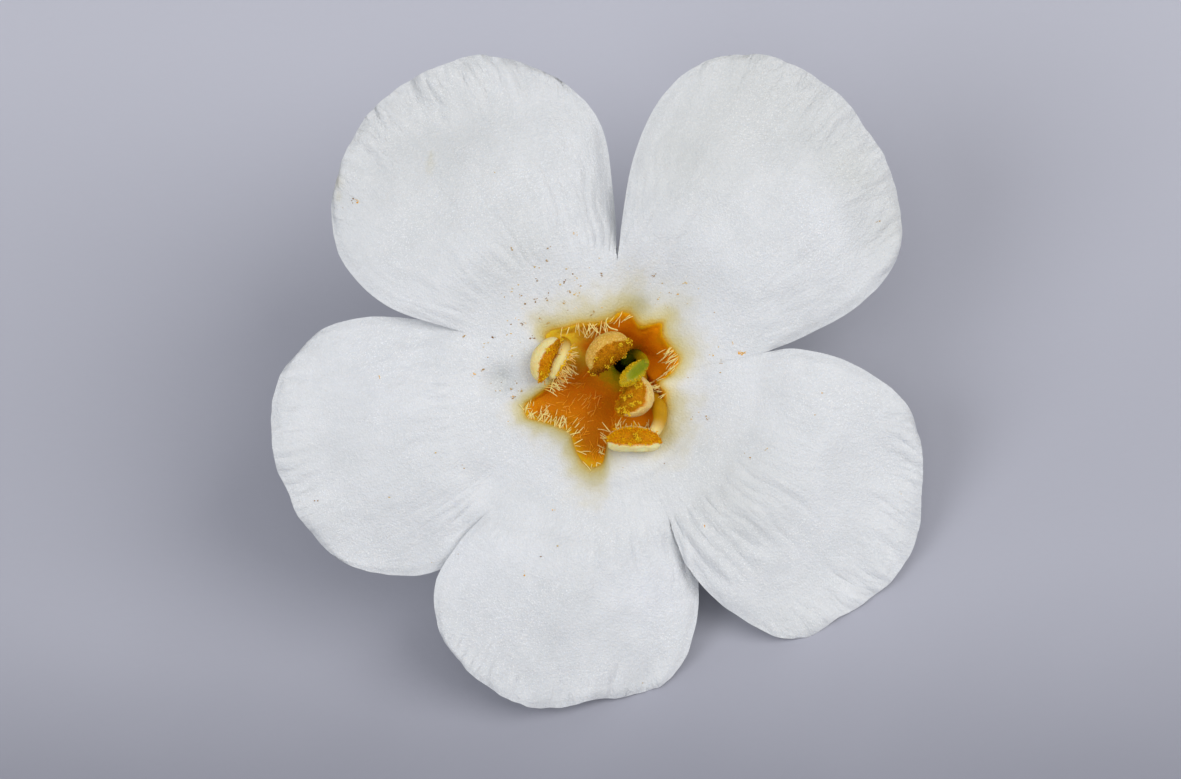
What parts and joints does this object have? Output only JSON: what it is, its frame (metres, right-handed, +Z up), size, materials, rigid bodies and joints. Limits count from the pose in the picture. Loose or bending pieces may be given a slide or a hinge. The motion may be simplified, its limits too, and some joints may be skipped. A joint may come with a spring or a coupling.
{
  "type": "bacopa flower",
  "caption": "Small white bacopa blossom with broad waved petals, hairy orange throat, stamens, pistil, green calyx and stalk, lying as picked.",
  "frame": {"origin": "on the surface that the flower lies on, under the middle of its bounding box", "axes": "+Z up from that surface; the face of the flower leans back and looks up and towards -Y, +X is to its right"},
  "size_m": [0.023, 0.0222, 0.0132],
  "materials": {
    "petal": "matte",
    "pistil": "satin",
    "calyx": "matte",
    "pedicel": "matte",
    "filament": "satin",
    "anther": "matte"
  },
  "bodies": {
    "root": {"corolla": "petal", "pistil": "pistil", "calyx": "calyx", "pedicel": "pedicel", "filament_left": "filament", "filament_top": "filament", "filament_right": "filament", "filament_bottom": "filament", "anther_left": "anther", "anther_top": "anther", "anther_right": "anther", "anther_bottom": "anther"}
  },
  "joints": []
}
